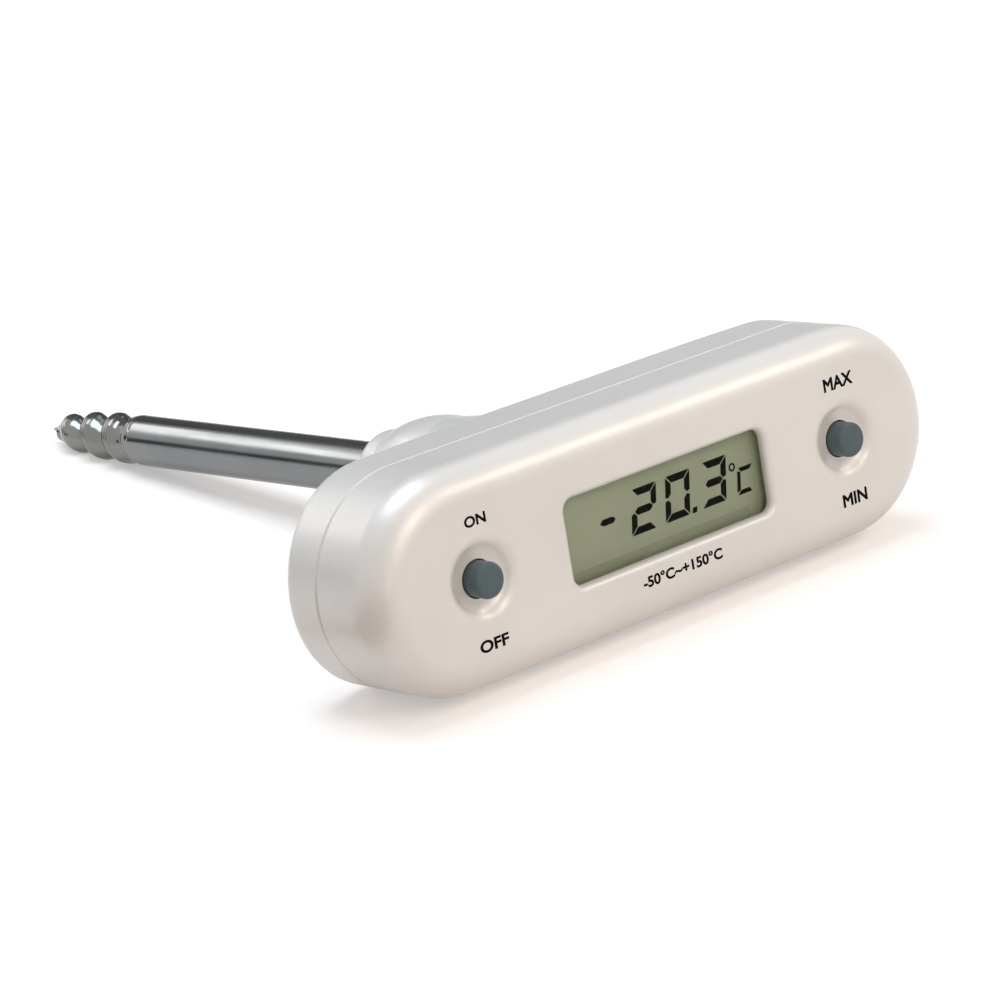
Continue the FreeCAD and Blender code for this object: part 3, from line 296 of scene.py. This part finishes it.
def segment_outlines():
    """The seven pointed segments of a digit, named a to g, on an upright digit."""
    w = DIGIT_WIDTH
    h = DIGIT_HEIGHT
    s = SEGMENT_WIDTH
    g = SEGMENT_GAP
    half = h / 2
    mid = s / 2
    across = [(g + mid, 0), (g + s, mid), (w - g - s, mid), (w - g - mid, 0),
              (w - g - s, -mid), (g + s, -mid)]
    outer_top = [(g, h), (w - g, h), (w - g - s, h - s), (g + s, h - s)]
    outer_low = [(g, 0), (w - g, 0), (w - g - s, s), (g + s, s)]
    blunt = mid * 0.4
    upper_left = [(0, h - g), (s, h - g - s), (s, half + g + mid), (mid, half + g),
                  (0, half + g + blunt)]
    lower_left = [(0, g), (s, g + s), (s, half - g - mid), (mid, half - g),
                  (0, half - g - blunt)]
    return {
        "a": outer_top,
        "b": [(w - x, z) for x, z in upper_left],
        "c": [(w - x, z) for x, z in lower_left],
        "d": outer_low,
        "e": lower_left,
        "f": upper_left,
        "g": [(x, z + half) for x, z in across],
    }


def display_reading(material):
    """A plain reading in seven-segment figures, a degree ring and a C."""
    form = bmesh.new()
    outlines = segment_outlines()
    y = DISPLAY_Y - FIGURE_LIFT * MM
    for x0, lit in FIGURES:
        for name in lit:
            plate(form, slanted(outlines[name], x0, DIGIT_BASE), y, INK_THICKNESS)
    plate(form, MINUS_SIGN, y, INK_THICKNESS)
    plate(form, DECIMAL_POINT, y, INK_THICKNESS)
    ring(form, DEGREE_CENTRE, DEGREE_INNER, DEGREE_OUTER, y)
    for corners in letter_c():
        plate(form, corners, y, INK_THICKNESS)
    bmesh.ops.recalc_face_normals(form, faces=form.faces)
    mesh_piece("display_figures", form, material)


def ring(form, centre, inner, outer, y):
    """A flat ring in short plates."""
    for n in range(RING_STEPS):
        a = 2 * math.pi * n / RING_STEPS
        b = 2 * math.pi * (n + 1) / RING_STEPS
        corners = [(centre.x + r * math.cos(t), centre.y + r * math.sin(t))
                   for r, t in ((inner, a), (outer, a), (outer, b), (inner, b))]
        plate(form, corners, y, INK_THICKNESS)


def letter_c():
    """The unit's C, a leaning bracket with cut corners."""
    left = 13.9
    right = 16.7
    low = -2.75
    high = 0.95
    s = 0.62
    lean = DIGIT_SLANT
    back = [(left, low + 0.4), (left + s, low + s), (left + s, high - s), (left, high - 0.4)]
    top = [(left + 0.15, high), (right, high), (right - 0.5, high - s), (left + s + 0.1, high - s)]
    base = [(left + 0.15, low), (right, low), (right - 0.5, low + s), (left + s + 0.1, low + s)]
    return [[(x + (z - low) * lean, z) for x, z in part] for part in (back, top, base)]


def printed(name, material):
    """A printed word that fills its own box on the display face."""
    words, left, right, low, high = WORDS[name]
    curve = bpy.data.curves.new(name, "FONT")
    curve.body = words
    curve.bevel_depth = STROKE_SWELL
    curve.bevel_resolution = 0
    curve.resolution_u = 6
    text = bpy.data.objects.new(name + "_text", curve)
    bpy.context.scene.collection.objects.link(text)
    bpy.context.view_layer.update()
    mesh = bpy.data.meshes.new_from_object(text.evaluated_get(bpy.context.evaluated_depsgraph_get()))
    bpy.data.objects.remove(text)
    form = bmesh.new()
    form.from_mesh(mesh)
    bpy.data.meshes.remove(mesh)
    low_x, high_x = span(form, 0)
    low_y, high_y = span(form, 1)
    low_z, high_z = span(form, 2)
    wide = (right - left) * MM / (high_x - low_x)
    tall = (high - low) * MM / (high_y - low_y)
    deep = INK_THICKNESS * MM / (high_z - low_z)
    upright = Matrix.Rotation(math.radians(90), 4, "X")
    corner = Matrix.Translation((-low_x, -low_y, -low_z))
    fit = Matrix.Diagonal((wide, tall, deep, 1))
    spot = Matrix.Translation((left * MM, FACE_Y + LABEL_SINK * MM, low * MM))
    bmesh.ops.transform(form, matrix=spot @ upright @ fit @ corner, verts=form.verts)
    bmesh.ops.recalc_face_normals(form, faces=form.faces)
    mesh_piece(name, form, material)


def span(form, axis):
    """Lowest and highest coordinate of a form along an axis."""
    places = [vertex.co[axis] for vertex in form.verts]
    return min(places), max(places)


def case_screw_heads(material):
    """The four case screws with a domed cross-recessed head."""
    low, high = SCREW_BOX
    head = SCREW_HEAD_RADIUS * MM
    seat = high.y - SCREW_HEAD * MM
    form = bmesh.new()
    for x in (low.x + head, high.x - head):
        for z in (low.z + head, high.z - head):
            screw_shank(form, x, z, low.y, seat + SCREW_OVERLAP * MM)
            screw_head(form, x, z, seat)
    bmesh.ops.recalc_face_normals(form, faces=form.faces)
    piece = mesh_piece("cross_recessed_screws", form, material)
    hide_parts("case_screws")


def screw_shank(form, x, z, start, end):
    """Plain shank between two levels along +Y."""
    radius = SCREW_SHANK_RADIUS * MM
    middle = Matrix.Translation((x, (start + end) / 2, z)) @ Matrix.Rotation(math.radians(90), 4, "X")
    bmesh.ops.create_cone(form, cap_ends=True, segments=32, radius1=radius, radius2=radius,
                          depth=end - start, matrix=middle)


def screw_head(form, x, z, seat):
    """Domed head from spun rings, whose top carries a sunk cross."""
    spots = [form.verts.new((x + reach * MM, seat + along * MM, z))
             for reach, along in SCREW_HEAD_OUTLINE]
    edges = [form.edges.new(pair) for pair in zip(spots, spots[1:])]
    bmesh.ops.spin(form, geom=spots + edges, cent=(x, seat, z), axis=(0, 1, 0),
                   angle=2 * math.pi, steps=SCREW_HEAD_STEPS, use_merge=True)
    bmesh.ops.remove_doubles(form, verts=[v for v in form.verts if v.is_valid], dist=0.001 * MM)
    top = seat + SCREW_HEAD * MM
    centre = Vector((x, top, z))
    rim = [edge for edge in form.edges
           if edge.is_boundary and abs(edge.verts[0].co.y - top) < 0.01 * MM
           and (edge.verts[0].co - centre).length < HEAD_TOP_REACH * MM]
    r = CROSS_REACH
    c = CROSS_HALF
    corners = [(r, -c), (r, c), (c, c), (c, r), (-c, r), (-c, c),
               (-r, c), (-r, -c), (-c, -c), (-c, -r), (c, -r), (c, -c)]
    cross = form.faces.new([form.verts.new((x + i * MM, top, z + j * MM)) for i, j in corners])
    bmesh.ops.triangle_fill(form, use_beauty=True, edges=rim + cross.edges[:])
    sunk = bmesh.ops.extrude_face_region(form, geom=[cross])
    low = [item for item in sunk["geom"] if isinstance(item, bmesh.types.BMVert)]
    bmesh.ops.translate(form, verts=low, vec=(0, -CROSS_DEPTH * MM, 0))
    if cross.is_valid:
        bmesh.ops.delete(form, geom=[cross], context="FACES_ONLY")


def background_rays(nodes, links):
    """1 for rays that show the background: those of the camera, of gloss and through glass."""
    path = nodes.new("ShaderNodeLightPath")
    direct = nodes.new("ShaderNodeMath")
    direct.operation = "MAXIMUM"
    links.new(path.outputs["Is Camera Ray"], direct.inputs[0])
    links.new(path.outputs["Is Glossy Ray"], direct.inputs[1])
    seen = nodes.new("ShaderNodeMath")
    seen.operation = "MAXIMUM"
    links.new(direct.outputs["Value"], seen.inputs[0])
    links.new(path.outputs["Is Transmission Ray"], seen.inputs[1])
    return seen.outputs["Value"]


def floor():
    """Pale floor that touches the handle's back edge and the tip; it keeps the soft shadow."""
    form = bmesh.new()
    bmesh.ops.create_grid(form, x_segments=1, y_segments=1, size=FLOOR_SIZE)
    mesh = bpy.data.meshes.new("floor")
    form.to_mesh(mesh)
    form.free()
    material, nodes, links, shader = new_material("floor_white")
    nodes.remove(shader)
    diffuse = nodes.new("ShaderNodeBsdfDiffuse")
    diffuse.inputs["Color"].default_value = FLOOR_COLOUR
    glow = nodes.new("ShaderNodeEmission")
    glow.inputs["Color"].default_value = WHITE
    seen = background_rays(nodes, links)
    gain = nodes.new("ShaderNodeMath")
    gain.operation = "MULTIPLY"
    gain.inputs[1].default_value = FLOOR_GLOW
    links.new(seen, gain.inputs[0])
    links.new(gain.outputs["Value"], glow.inputs["Strength"])
    both = nodes.new("ShaderNodeAddShader")
    links.new(diffuse.outputs["BSDF"], both.inputs[0])
    links.new(glow.outputs["Emission"], both.inputs[1])
    links.new(both.outputs["Shader"], nodes["Material Output"].inputs["Surface"])
    mesh.materials.append(material)
    ground = bpy.data.objects.new("floor", mesh)
    bpy.context.scene.collection.objects.link(ground)
    ground.location = (0, BACK_EDGE_Y, HANDLE_LOW)
    ground.rotation_euler = (FLOOR_TILT, 0, 0)


def area_light(name, way, distance, size, power, colour):
    """A soft box seen from the object along a way, turned towards it."""
    data = bpy.data.lights.new(name, "AREA")
    data.shape = "RECTANGLE"
    data.size = size[0]
    data.size_y = size[1]
    data.energy = power
    data.color = colour
    lamp = bpy.data.objects.new(name, data)
    bpy.context.scene.collection.objects.link(lamp)
    lamp.location = Vector(way).normalized() * distance
    lamp.rotation_euler = (-lamp.location).to_track_quat("-Z", "Y").to_euler()


def card(name, spot, facing, size, colour):
    """A card that only reflections see, in metres from the origin, turned to face a way."""
    form = bmesh.new()
    bmesh.ops.create_grid(form, x_segments=1, y_segments=1, size=0.5)
    mesh = bpy.data.meshes.new(name)
    form.to_mesh(mesh)
    form.free()
    material, nodes, links, shader = new_material(name)
    nodes.remove(shader)
    glow = nodes.new("ShaderNodeEmission")
    glow.inputs["Color"].default_value = (*colour, 1)
    links.new(glow.outputs["Emission"], nodes["Material Output"].inputs["Surface"])
    mesh.materials.append(material)
    board = bpy.data.objects.new(name, mesh)
    bpy.context.scene.collection.objects.link(board)
    board.location = spot
    board.rotation_euler = Vector(facing).to_track_quat("Z", "Y").to_euler()
    board.scale = (size[0], size[1], 1)
    board.visible_camera = False
    board.visible_diffuse = False
    board.visible_shadow = False
    board.visible_transmission = False


def studio():
    """A sky that shows white, soft cool light from above, a warm key from the right, and cards."""
    world = bpy.data.worlds.new("studio")
    bpy.context.scene.world = world
    world.use_nodes = True
    nodes = world.node_tree.nodes
    links = world.node_tree.links
    nodes["Background"].inputs["Color"].default_value = SKY_COLOUR
    nodes["Background"].inputs["Strength"].default_value = SKY_LIGHT
    white = nodes.new("ShaderNodeBackground")
    white.inputs["Color"].default_value = WHITE
    pick = nodes.new("ShaderNodeMixShader")
    links.new(background_rays(nodes, links), pick.inputs["Fac"])
    links.new(nodes["Background"].outputs["Background"], pick.inputs[1])
    links.new(white.outputs["Background"], pick.inputs[2])
    links.new(pick.outputs["Shader"], nodes["World Output"].inputs["Surface"])
    area_light("top_box", (0.0, 0.1, 1.0), 0.9, (0.6, 0.6), 5.0, (0.74, 0.87, 1.0))
    area_light("front_box", (0.05, -0.86, 0.46), 0.9, (0.35, 0.35), 1.8, (1.0, 0.85, 0.72))
    area_light("key_box", (0.6, -0.59, 0.54), 0.9, (0.34, 0.16), 1.1, (1.0, 0.91, 0.81))
    area_light("left_lamp", (-0.38, -0.91, 0.05), 1.0, (0.04, 0.1), 0.25, (1.0, 0.85, 0.7))
    area_light("back_strip", (-0.2, 0.81, 0.54), 0.9, (0.5, 0.12), 0.72, (1.0, 0.99, 0.96))
    card("back_left_card", (-0.45, 0.65, 0.04), (0.56, -0.81, 0), (0.5, 0.3), (0.04, 0.04, 0.04))
    card("back_right_card", (0.46, 0.62, 0.18), (-0.58, -0.78, -0.2), (0.7, 0.6), (0.16, 0.16, 0.17))
    card("high_card", (0.3, 0.5, 0.62), (-0.3, -0.5, -0.62), (0.5, 0.5), (0.3, 0.3, 0.3))
    card("table_card", (-0.19, -0.16, HANDLE_LOW + 0.002), (0, 0, 1), (0.26, 0.26), (0.42, 0.28, 0.16))


def finishes():
    """Give each CAD node its finish; the plated steel also goes on the case screws."""
    shell = moulded_plastic("shell_moulding", (0.735, 0.70, 0.66), 0.4, pearl=0.22)
    give(shell, "front_shell", "rear_shell", "neck_collar", "battery_cap")
    give(polished_steel("probe_steel", (0.21, 0.22, 0.222), 0.2, (1.0, 0.05, 1.0)), "probe_tube")
    give(polished_steel("tip_steel", (0.235, 0.235, 0.22), 0.15, (1.0, 1.0, 1.0)), "drill_tip")
    plated = polished_steel("plated_steel", (0.6, 0.6, 0.58), 0.28, (1.0, 1.0, 1.0))
    give(plated, "case_screws", "board_screws", "tube_flange", "button_cell", "inner_cell_contact",
         "side_cell_contact")
    give(rubber("button_rubber", (0.06, 0.092, 0.1)), "power_button", "memory_button")
    give(rubber("seal_rubber", (0.02, 0.02, 0.02)), "shell_gasket", "neck_seal", "cap_seal")
    give(rubber("strip_rubber", (0.20, 0.05, 0.06)), "upper_contact_strip", "lower_contact_strip")
    give(display_glass(), "lcd_panel")
    give(lens_glass(), "window_lens")
    give(moulded_plastic("frame_moulding", (0.5, 0.5, 0.5)), "display_frame")
    give(moulded_plastic("switch_moulding", (0.03, 0.03, 0.03)), "power_switch", "memory_switch",
         "power_plunger", "memory_plunger")
    give(moulded_plastic("board_laminate", (0.03, 0.16, 0.07)), "circuit_board")
    give(moulded_plastic("cast_resin", (0.015, 0.015, 0.017)), "chip_cover", "neck_potting",
         "sensor_filling")
    give(moulded_plastic("component_body", (0.32, 0.24, 0.16)), "board_components")
    give(moulded_plastic("wire_insulation", (0.4, 0.03, 0.03)), "sensor_wires")
    give(moulded_plastic("bead_glass", (0.12, 0.05, 0.03), 0.2), "sensor_bead")
    return plated


camera()
plated_steel = finishes()
case_screw_heads(plated_steel)
display_reading(ink("display_black", (0.002, 0.002, 0.001)))
label_ink = ink("label_black", (0.001, 0.001, 0.002))
for label in WORDS:
    printed(label, label_ink)
floor()
studio()
bpy.context.scene.view_settings.view_transform = "Standard"
